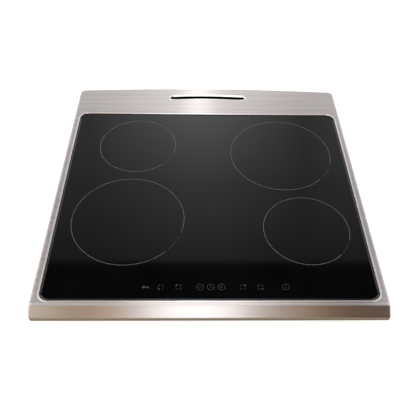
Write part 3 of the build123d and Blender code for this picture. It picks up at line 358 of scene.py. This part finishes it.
def natural_nylon():
    """Natural nylon 66, moulded: milky cream that light sinks into, with a waxy shine."""
    made, tree, shader = surface("Moulded natural nylon", "e2dcc6", 0.42, IOR=1.53,
                                 Subsurface_Weight=0.25, Subsurface_Scale=2 * MM)
    cloud = mottle(tree, (9, 9, 9))
    tone(tree, shader, cloud, "d9d1b8", "e9e4d2")
    gloss(tree, shader, cloud, 0.36, 0.5)
    relief(tree, shader, mottle(tree, (0.8, 0.8, 0.8)), 0.02)
    return made


def circuit_board():
    """Glass-epoxy board under green solder mask: copper tracks show through as paler stepped lines,
    and tinned pads stand out."""
    made, tree, shader = surface("Green solder mask on glass-epoxy", "17613c", 0.35, IOR=1.55)
    route = cells(tree, (7, 7, 7), "Distance", feature="DISTANCE_TO_EDGE")
    track = add(tree, "ShaderNodeMapRange", {"Value": route, "From Min": 0.08, "From Max": 0.11})
    board = add(tree, "ShaderNodeMix", {"Factor": track, 6: srgb("2f8a58"), 7: srgb("125034")}, 2,
                data_type="RGBA")
    spot = cells(tree, (5, 5, 5), "Distance")
    pad = add(tree, "ShaderNodeMath", {0: spot, 1: 0.16}, operation="LESS_THAN")
    faced = add(tree, "ShaderNodeMix", {"Factor": pad, 6: board, 7: srgb("c9cacb")}, 2, data_type="RGBA")
    tree.links.new(faced, shader.inputs["Base Color"])
    tree.links.new(pad, shader.inputs["Metallic"])
    gloss(tree, shader, track, 0.26, 0.4)
    relief(tree, shader, track, -0.04)
    return made


def component_plastic():
    """Transfer moulded epoxy: near-black, fine matt grain."""
    made, tree, shader = surface("Moulded black epoxy", "1c1c1d", 0.6, IOR=1.55)
    grain = mottle(tree, (0.5, 0.5, 0.5))
    tone(tree, shader, grain, "171718", "29292a")
    gloss(tree, shader, grain, 0.5, 0.72)
    relief(tree, shader, grain, 0.03)
    return made


def film_capacitor():
    """Potted film capacitor in a moulded box: brick red with a low sheen."""
    made, tree, shader = surface("Moulded capacitor box, red", "a23a26", 0.4, IOR=1.52)
    cloud = mottle(tree, (14, 14, 14))
    tone(tree, shader, cloud, "8f3020", "ad432d")
    gloss(tree, shader, mottle(tree, (0.7, 0.7, 0.7)), 0.32, 0.5)
    return made


def fan_plastic():
    """Glass-filled PBT, moulded: black with pale fibre flecks along the flow."""
    made, tree, shader = surface("Moulded glass-filled PBT", "1b1b1c", 0.45, IOR=1.55)
    fleck = mottle(tree, (2.4, 0.35, 0.6), 1.0)
    tone(tree, shader, fleck, "161617", "2c2c2e")
    gloss(tree, shader, fleck, 0.36, 0.55)
    relief(tree, shader, fleck, 0.015)
    return made


def conductive_rubber():
    """Carbon-loaded silicone pads: flat black with a graphite glint."""
    made, tree, shader = surface("Carbon-loaded silicone", "1a1a1b", 0.6, IOR=1.45)
    carbon = mottle(tree, (0.4, 0.4, 0.4), 1.0)
    tone(tree, shader, carbon, "131314", "333336")
    gloss(tree, shader, carbon, 0.45, 0.75)
    return made


def brass_screw():
    """Free-cutting brass, turned: warm yellow with bright and tarnished patches."""
    made, tree, shader = surface("Turned brass", "c9a35a", 0.28, 1.0)
    tone(tree, shader, mottle(tree, (3, 3, 3)), "b08742", "dcbb74")
    gloss(tree, shader, mottle(tree, (0.3, 0.3, 3)), 0.18, 0.38)
    return made


def wire_sleeve():
    """Braided glass-fibre sleeve: straw-white yarns that cross at a steep angle."""
    made, tree, shader = surface("Braided glass sleeve", "ded6c0", 0.7, IOR=1.5)
    left = lines(tree, (1.1, 1.1, 1.1), (0.7, 0.6, 0.785))
    right = lines(tree, (1.1, 1.1, 1.1), (-0.7, -0.6, -0.785))
    braid = add(tree, "ShaderNodeMath", {0: left, 1: right}, operation="MAXIMUM")
    tone(tree, shader, braid, "a89f86", "ebe5d3")
    relief(tree, shader, braid, 0.15)
    return made


def ribbon_pvc():
    """Flat PVC cable: grey cores side by side, 1.27 mm apart, with the usual red edge core."""
    made, tree, shader = surface("Flat cable PVC", "8f9296", 0.45, IOR=1.53)
    cores = lines(tree, (1.27, 1.27, 1.27))
    low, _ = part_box("ribbon_cable")
    x = add(tree, "ShaderNodeSeparateXYZ", {0: add(tree, "ShaderNodeTexCoord", out="Object")})
    edge = add(tree, "ShaderNodeMath", {0: x, 1: low.x + 1.27 * MM}, operation="LESS_THAN")
    core = add(tree, "ShaderNodeMix", {"Factor": cores, 6: srgb("74777b"), 7: srgb("a3a6a9")}, 2,
               data_type="RGBA")
    marked = add(tree, "ShaderNodeMix", {"Factor": edge, 6: core, 7: srgb("a82a24")}, 2, data_type="RGBA")
    tree.links.new(marked, shader.inputs["Base Color"])
    relief(tree, shader, cores, 0.3)
    return made


def mica_plastic():
    """High-temperature moulding filled with mica and glass: charcoal with tiny bright flakes."""
    made, tree, shader = surface("Mica-filled moulding", "3a3a39", 0.6, IOR=1.56)
    flake = add(tree, "ShaderNodeSeparateXYZ", {0: cells(tree, (0.8, 0.8, 0.8))})
    sparse = add(tree, "ShaderNodeMapRange", {"Value": flake, "From Min": 0.8, "From Max": 0.95})
    tone(tree, shader, sparse, "333332", "6b6a66")
    gloss(tree, shader, flake, 0.45, 0.7)
    relief(tree, shader, mottle(tree, (0.9, 0.9, 0.9)), 0.03)
    return made


def copper_litz():
    """Enamelled copper strands twisted into litz wire: warm orange-brown lacquered metal."""
    made, tree, shader = surface("Enamelled copper litz", "b9683c", 0.32, 1.0,
                                 Coat_Weight=0.5, Coat_Roughness=0.25)
    strand = mottle(tree, (0.5, 0.5, 0.5), 2.0)
    tone(tree, shader, strand, "8f4a28", "cf8352")
    gloss(tree, shader, strand, 0.24, 0.42)
    relief(tree, shader, strand, 0.05)
    return made


def ferrite():
    """Manganese-zinc ferrite, sintered: charcoal grey, stony, with bright grains."""
    made, tree, shader = surface("Sintered ferrite", "3b3b3e", 0.55, 0.3)
    grain = mottle(tree, (0.5, 0.5, 0.5), 3.0)
    tone(tree, shader, grain, "2f2f32", "525257")
    gloss(tree, shader, grain, 0.42, 0.68)
    relief(tree, shader, grain, 0.04)
    return made


def mica_sheet():
    """Bonded mica paper, pressed: pale buff with overlapping pearly flakes."""
    made, tree, shader = surface("Pressed mica sheet", "d8d1bb", 0.4, IOR=1.58, Sheen_Weight=0.2)
    flake = add(tree, "ShaderNodeSeparateXYZ", {0: cells(tree, (3, 3, 3))})
    tone(tree, shader, flake, "c6bda3", "e6e1cf")
    gloss(tree, shader, flake, 0.28, 0.5)
    relief(tree, shader, flake, 0.02)
    return made


def aluminium_sheet():
    """Mill-finish aluminium sheet: bright satin with long rolling lines from front to rear."""
    made, tree, shader = surface("Mill-finish aluminium sheet", "cfd0d1", 0.36, 1.0, Anisotropic=0.6)
    rolled = mottle(tree, (0.9, 140, 140), 3.0)
    tone(tree, shader, rolled, "c0c2c4", "dcdddd")
    gloss(tree, shader, rolled, 0.28, 0.44)
    across = add(tree, "ShaderNodeCombineXYZ", {0: 1.0})
    tree.links.new(across, shader.inputs["Tangent"])
    return made


def aluminium_extrusion():
    """Extruded aluminium: grey satin with die lines that run the length of the fins."""
    made, tree, shader = surface("Extruded aluminium", "bfc0c2", 0.4, 1.0)
    die = mottle(tree, (0.5, 160, 0.5), 3.0)
    tone(tree, shader, die, "a8aaad", "cccdce")
    gloss(tree, shader, die, 0.3, 0.5)
    relief(tree, shader, die, 0.02)
    return made


FINISHES = (brushed_stainless, black_glass_ceramic, black_silicone, galvanised_steel, black_enamelled_steel,
            zinc_plated_steel, dark_abs, black_rubber, spring_steel, sensor_ceramic, natural_nylon,
            circuit_board, component_plastic, film_capacitor, fan_plastic, conductive_rubber, brass_screw,
            wire_sleeve, ribbon_pvc, mica_plastic, copper_litz, ferrite, mica_sheet, aluminium_sheet,
            aluminium_extrusion)


def finish_nodes():
    """Give every CAD node the finish that its material slot names; returns the finishes."""
    made = {make.__name__: make() for make in FINISHES}
    for part in frame["record"]["subparts"]:
        materials = NODES[part["node"]].data.materials
        materials.clear()
        materials.append(made[part["material_slot"]])
    return made


# ---------------------------------------------------------------- printing on the glass

def zone_ink():
    """Ceramic ink, screen printed and fired into the glass: a matt grey line."""
    made, tree, shader = surface("Fired ceramic ink, grey", "606067", 0.55)
    tone(tree, shader, mottle(tree, (1.1, 1.1, 1.1)), "4e4e55", "6b6b73")
    return made


def symbol_ink():
    """The same ink in the finer symbols, which print thinner and darker."""
    made, tree, shader = surface("Fired ceramic ink, fine", "434347", 0.55)
    tone(tree, shader, mottle(tree, (0.7, 0.7, 0.7)), "38383b", "505054")
    return made


def group_tree(name, sizes):
    """Empty geometry tree with the named sizes and a finish as its inputs; returns it and its inputs."""
    tree = bpy.data.node_groups.new(name, "GeometryNodeTree")
    face = tree.interface
    face.new_socket("Geometry", in_out="INPUT", socket_type="NodeSocketGeometry")
    for size in sizes:
        face.new_socket(size, in_out="INPUT", socket_type="NodeSocketFloat")
    face.new_socket("Finish", in_out="INPUT", socket_type="NodeSocketMaterial")
    face.new_socket("Geometry", in_out="OUTPUT", socket_type="NodeSocketGeometry")
    return tree, tree.nodes.new("NodeGroupInput").outputs


def settle_tree(tree, shape, finish):
    """End a geometry tree: real mesh, in its finish."""
    real = add(tree, "GeometryNodeRealizeInstances", {0: shape})
    faced = add(tree, "GeometryNodeSetMaterial", {"Geometry": real, "Material": finish})
    add(tree, "NodeGroupOutput", {0: faced})


def ink_tree():
    """Geometry tree that lays a flat band of ink along every path of a curve."""
    tree, given = group_tree("Ink along a path", ("Line width", "Ink height"))
    upright = add(tree, "GeometryNodeSetCurveNormal", {"Curve": given["Geometry"]}, mode="Z_UP")
    section = add(tree, "GeometryNodeCurvePrimitiveQuadrilateral",
                  {"Width": given["Line width"], "Height": given["Ink height"]})
    band = add(tree, "GeometryNodeCurveToMesh",
               {"Curve": upright, "Profile Curve": section, "Fill Caps": True})
    settle_tree(tree, band, given["Finish"])
    return tree


def grown(name, source, tree, values):
    """Run a geometry tree on a source object and keep the result as a plain mesh piece."""
    modifier = source.modifiers.new("Shape", "NODES")
    modifier.node_group = tree
    for item in tree.interface.items_tree:
        if item.in_out == "INPUT" and item.name in values:
            modifier[item.identifier] = values[item.name]
    graph = bpy.context.evaluated_depsgraph_get()
    mesh = bpy.data.meshes.new_from_object(source.evaluated_get(graph))
    mesh.name = name
    piece = bpy.data.objects.new(name, mesh)
    bpy.context.scene.collection.objects.link(piece)
    bpy.data.objects.remove(source)
    mesh.materials.clear()
    mesh.materials.append(values["Finish"])
    return piece


def drawn_source(name, paths):
    """Curve object with one spline for each (points, closed) path at the face of the glass."""
    curve = bpy.data.curves.new(name + "_path", "CURVE")
    curve.dimensions = "3D"
    for points, closed in paths:
        spline = curve.splines.new("POLY")
        spline.points.add(len(points) - 1)
        for spot, (x, y) in zip(spline.points, points):
            spot.co = (x, y, GLASS_TOP, 1.0)
        spline.use_cyclic_u = closed
    source = bpy.data.objects.new(name + "_path", curve)
    bpy.context.scene.collection.objects.link(source)
    return source


def arc_points(x, y, radius, start, end, step=4.0):
    """Points along an arc, in degrees, from start to end."""
    count = max(3, int(abs(end - start) / step) + 1)
    turns = [radians(start + (end - start) * i / (count - 1)) for i in range(count)]
    return [(x + radius * cos(t), y + radius * sin(t)) for t in turns]


def glass_point(x):
    """Place on the line of touch keys, from millimetres off the middle of the glass."""
    return GLASS_MID.x + x * MM, GLASS_MID.y + KEYS_Y


def zone_rings():
    """Four printed rings, each centred over its coil, and the faint line across each ring's break."""
    rings, faint = [], []
    for name in ZONES:
        low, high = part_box(f"coil_former_{name}")
        middle = (low + high) / 2
        radius = (high.x - low.x) / 2 + RING_MARGIN
        start, end = RING_BREAK[1], RING_BREAK[0] + 360
        rings.append((arc_points(middle.x, middle.y, radius, start, end, 2.5), False))
        faint.append((arc_points(middle.x, middle.y, radius, *FAINT_PART, 2.5), False))
    return rings, faint


def selector(x, chosen):
    """Four quarter arcs round a key; the chosen quarter is bold."""
    cx, cy = glass_point(x)
    thin, bold = [], []
    for quarter in range(4):
        start, end = 90 * quarter + QUARTER_GAP, 90 * (quarter + 1) - QUARTER_GAP
        path = (arc_points(cx, cy, SYMBOL_RADIUS * 0.8, start, end, 8), False)
        (bold if quarter == chosen else thin).append(path)
    return thin, bold


def symbol_paths():
    """Thin and bold strokes of all the touch symbols."""
    thin, bold = [], []
    r = SYMBOL_RADIUS

    def ring(x, radius):
        cx, cy = glass_point(x)
        thin.append((arc_points(cx, cy, radius, 0, 350, 10), True))

    def stroke(x, *points, into=thin):
        cx, cy = glass_point(x)
        into.append(([(cx + px * r, cy + py * r) for px, py in points], False))

    lock_x, lock_y = glass_point(LOCK_BOW)
    bold.append((arc_points(lock_x, lock_y, r * 0.3, 0, 345, 15), True))
    stroke(LOCK_SHANK, (-0.05, 0.0), (1.1, 0.0), into=bold)
    stroke(LOCK_SHANK, (0.75, 0.0), (0.75, -0.45))
    stroke(LOCK_SHANK, (1.05, 0.0), (1.05, -0.45))
    for x, chosen in SELECTORS:
        more_thin, more_bold = selector(x, chosen)
        thin.extend(more_thin)
        bold.extend(more_bold)
    for x in (MINUS, TIMER, PLUS):
        ring(x, r * 0.95)
    stroke(MINUS, (-0.45, 0.0), (0.45, 0.0))
    stroke(PLUS, (-0.45, 0.0), (0.45, 0.0))
    stroke(PLUS, (0.0, -0.45), (0.0, 0.45))
    stroke(TIMER, (0.0, 0.5), (0.0, 0.0), (0.35, -0.2))
    ring(POWER, r * 0.95)
    stroke(POWER, (0.0, -0.5), (0.0, 0.5))
    return thin, bold


def print_glass():
    """Lay all the printing on the glass."""
    tree = ink_tree()
    ring_ink, fine_ink = zone_ink(), symbol_ink()
    thin, bold = symbol_paths()
    rings, faint = zone_rings()
    for name, paths, width, ink in (("zone_rings", rings, RING_LINE, ring_ink),
                                    ("zone_rings_faint", faint, FAINT_LINE, fine_ink),
                                    ("touch_symbols", thin, SYMBOL_LINE, fine_ink),
                                    ("touch_symbols_bold", bold, BOLD_LINE, fine_ink)):
        values = {"Line width": width, "Ink height": INK_HEIGHT, "Finish": ink}
        piece = grown(name, drawn_source(name, paths), tree, values)
        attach(piece, "cooktop")


# ---------------------------------------------------------------- wound coils

def winding_tree():
    """Geometry tree for a flat coil: one litz wire in a spiral, its strands twisted round each other."""
    tree, given = group_tree("Litz spiral", ("Inner radius", "Outer radius", "Wire radius"))
    room = add(tree, "ShaderNodeMath", {0: given["Outer radius"], 1: given["Inner radius"]},
               operation="SUBTRACT")
    pitch = add(tree, "ShaderNodeMath", {0: given["Wire radius"], 1: 2.0}, operation="MULTIPLY")
    turns = add(tree, "ShaderNodeMath", {0: room, 1: pitch}, operation="DIVIDE")
    spiral = add(tree, "GeometryNodeCurveSpiral",
                 {"Resolution": 128, "Rotations": turns, "Start Radius": given["Inner radius"],
                  "End Radius": given["Outer radius"], "Height": 0.0})
    even = add(tree, "GeometryNodeResampleCurve", {"Curve": spiral, "Length": WIRE_STEP}, mode="LENGTH")
    upright = add(tree, "GeometryNodeSetCurveNormal", {"Curve": even}, mode="Z_UP")
    along = add(tree, "GeometryNodeSplineParameter", out="Length")
    twist = add(tree, "ShaderNodeMath", {0: along, 1: 2 * pi / LAY_LENGTH}, operation="MULTIPLY")
    twisted = add(tree, "GeometryNodeSetCurveTilt", {"Curve": upright, "Tilt": twist})
    valley = add(tree, "ShaderNodeMath", {0: given["Wire radius"], 1: 0.8}, operation="MULTIPLY")
    section = add(tree, "GeometryNodeCurveStar",
                  {"Points": STRANDS, "Inner Radius": valley, "Outer Radius": given["Wire radius"]})
    wire = add(tree, "GeometryNodeCurveToMesh",
               {"Curve": twisted, "Profile Curve": section, "Fill Caps": True})
    settle_tree(tree, wire, given["Finish"])
    return tree


def wind_coils(finish):
    """A wound coil in place of each plain CAD ring."""
    tree = winding_tree()
    for name in ZONES:
        node = f"coil_winding_{name}"
        low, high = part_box(node)
        wire = (high.z - low.z) / 2
        outer = (high.x - low.x) / 2 - wire
        values = {"Inner radius": HUB_RADIUS + 2 * wire, "Outer radius": outer,
                  "Wire radius": wire * WIRE_FILL, "Finish": finish}
        mesh = bpy.data.meshes.new(f"litz_{name}_start")
        source = bpy.data.objects.new(f"litz_{name}_start", mesh)
        bpy.context.scene.collection.objects.link(source)
        piece = grown(f"litz_winding_{name}", source, tree, values)
        piece.data.transform(Matrix.Translation((low + high) / 2))
        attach(piece, "cooktop")
        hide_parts(node)


# ---------------------------------------------------------------- floor, light and camera

def make_floor():
    """Plain pale floor under the tray. It glows a little to the camera alone, so that it stays white
    while the steel still mirrors a shaded floor."""
    reach = 12.0
    drop = 0.2 * MM
    mesh = bpy.data.meshes.new("floor")
    corners = [(x * reach, y * reach, -drop) for x, y in ((-1, -1), (1, -1), (1, 1), (-1, 1))]
    mesh.from_pydata(corners, [], [(0, 1, 2, 3)])
    floor = bpy.data.objects.new("floor", mesh)
    bpy.context.scene.collection.objects.link(floor)
    made, tree, shader = surface("Pale floor", "aba08b", 0.9, Emission_Color=grey(1.0))
    seen = add(tree, "ShaderNodeLightPath", out="Is Camera Ray")
    glow = add(tree, "ShaderNodeMath", {0: seen, 1: 0.9}, operation="MULTIPLY")
    tree.links.new(glow, shader.inputs["Emission Strength"])
    mesh.materials.append(made)


def make_world():
    """Soft studio: a pale wall to the rear that is brightest in its middle, with a narrow lamp low in
    it, a softbox overhead, and a white window in front between warm dark sides."""
    world = bpy.data.worlds.new("Soft studio")
    bpy.context.scene.world = world
    world.use_nodes = True
    tree = world.node_tree
    tree.nodes.clear()
    toward = add(tree, "ShaderNodeTexCoord", out="Generated")
    x, y, z = add(tree, "ShaderNodeSeparateXYZ", {0: toward}).node.outputs
    lift = add(tree, "ShaderNodeMath", {0: z, 1: y}, operation="ARCTAN2")
    # 0 is level to the rear, 0.5 is overhead and 1 is level in front.
    over = add(tree, "ShaderNodeMath", {0: lift, 1: pi}, operation="DIVIDE")
    across = add(tree, "ShaderNodeMapRange", {"Value": x, "From Min": -0.5, "From Max": 0.5})
    wall = add(tree, "ShaderNodeValToRGB", {0: over}, stops=(
        (0.17, grey(0.0)), (0.20, grey(1.4)), (0.255, grey(0.6)), (0.302, grey(0.27)), (0.305, grey(0.012))))
    width = add(tree, "ShaderNodeValToRGB", {0: across}, stops=(
        (0.0, grey(0.28)), (0.30, grey(0.30)), (0.48, grey(1.0)), (0.53, grey(1.0)), (0.70, grey(0.27)),
        (0.77, grey(0.42))))
    spread = add(tree, "ShaderNodeMapRange", {"Value": over, "From Min": 0.21, "From Max": 0.27,
                                              "To Max": 0.42})
    wider = add(tree, "ShaderNodeMix", {"Factor": spread, 6: width, 7: grey(0.9)}, 2, data_type="RGBA")
    rear = add(tree, "ShaderNodeMix", {"Factor": 1.0, 6: wall, 7: wider}, 2, data_type="RGBA",
               blend_type="MULTIPLY")
    lamp_high = add(tree, "ShaderNodeValToRGB", {0: over}, stops=(
        (0.0, grey(1.0)), (0.15, grey(1.0)), (0.17, grey(0.0))))
    lamp_wide = add(tree, "ShaderNodeValToRGB", {0: across}, stops=(
        (0.475, grey(0.0)), (0.495, grey(5.2)), (0.507, grey(5.2)), (0.53, grey(0.0))))
    lamp = add(tree, "ShaderNodeMix", {"Factor": 1.0, 6: lamp_high, 7: lamp_wide}, 2, data_type="RGBA",
               blend_type="MULTIPLY")
    low_wall = add(tree, "ShaderNodeValToRGB", {0: over}, stops=(
        (0.0, grey(1.62)), (0.17, grey(1.62)), (0.20, grey(0.0))))
    lit_low = add(tree, "ShaderNodeMix", {"Factor": 1.0, 6: rear, 7: low_wall}, 2, data_type="RGBA",
                  blend_type="ADD")
    lit_rear = add(tree, "ShaderNodeMix", {"Factor": 1.0, 6: lit_low, 7: lamp}, 2, data_type="RGBA",
                   blend_type="ADD")
    overhead = add(tree, "ShaderNodeValToRGB", {0: over}, stops=(
        (0.33, grey(0.0)), (0.345, grey(1.0)), (0.39, grey(1.0)), (0.48, grey(0.75)), (0.62, grey(0.75)),
        (0.66, grey(0.0))))
    panels = add(tree, "ShaderNodeValToRGB", {0: across}, stops=(
        (0.08, grey(2.4)), (0.20, grey(1.05)), (0.35, grey(0.9)), (0.43, grey(2.2)), (0.56, grey(2.2)),
        (0.66, grey(1.1)), (0.72, grey(0.85)), (0.80, grey(0.42)), (0.92, grey(2.4))))
    softbox = add(tree, "ShaderNodeMix", {"Factor": 1.0, 6: overhead, 7: panels}, 2, data_type="RGBA",
                  blend_type="MULTIPLY")
    lit = add(tree, "ShaderNodeMix", {"Factor": 1.0, 6: lit_rear, 7: softbox}, 2, data_type="RGBA",
              blend_type="ADD")
    front = add(tree, "ShaderNodeValToRGB", {0: across}, stops=(
        (0.22, (0.90, 0.82, 0.66, 1)), (0.27, (0.39, 0.25, 0.10, 1)), (0.32, (0.61, 0.39, 0.22, 1)),
        (0.38, (0.88, 0.74, 0.64, 1)), (0.43, grey(1.9)), (0.50, grey(2.3)), (0.55, grey(2.1)),
        (0.61, (0.94, 0.84, 0.77, 1)), (0.65, (0.56, 0.45, 0.37, 1)), (0.70, (0.50, 0.34, 0.19, 1)),
        (0.75, (0.18, 0.09, 0.02, 1)), (0.81, (0.10, 0.02, 0.0, 1)), (0.87, (0.08, 0.03, 0.0, 1))))
    ahead = add(tree, "ShaderNodeMapRange", {"Value": over, "From Min": 0.63, "From Max": 0.68})
    room = add(tree, "ShaderNodeMix", {"Factor": ahead, 6: lit, 7: front}, 2, data_type="RGBA")
    seen = add(tree, "ShaderNodeLightPath", out="Is Camera Ray")
    colour = add(tree, "ShaderNodeMix", {"Factor": seen, 6: room, 7: grey(0.95)}, 2, data_type="RGBA")
    back = add(tree, "ShaderNodeBackground", {"Color": colour})
    add(tree, "ShaderNodeOutputWorld", {0: back})


def make_camera():
    """Camera above the front edge, looking down to the rear."""
    eye = CAMERA_PLACE + Vector((0, GLASS_MID.y, GLASS_TOP))
    yaw, pitch, roll = [radians(turn) for turn in CAMERA_TURN]
    ahead = Vector((sin(yaw) * cos(pitch), cos(yaw) * cos(pitch), -sin(pitch)))
    right = ahead.cross(Vector((0, 0, 1))).normalized()
    up = right.cross(ahead)
    side = right * cos(roll) + up * sin(roll)
    top = up * cos(roll) - right * sin(roll)
    camera = bpy.data.cameras.new("camera")
    camera.lens = CAMERA_LENS
    camera.sensor_width = 36.0
    camera.clip_start = 0.01
    made = bpy.data.objects.new("camera", camera)
    bpy.context.scene.collection.objects.link(made)
    made.matrix_world = Matrix.Translation(eye) @ Matrix((side, top, -ahead)).transposed().to_4x4()
    bpy.context.scene.camera = made


def main():
    for thing in list(bpy.data.objects):
        if thing.name in ("Cube", "Light", "Camera"):
            bpy.data.objects.remove(thing)
    finishes = finish_nodes()
    print_glass()
    wind_coils(finishes["copper_litz"])
    make_floor()
    make_world()
    make_camera()
    bpy.context.scene.view_settings.view_transform = "Standard"


main()
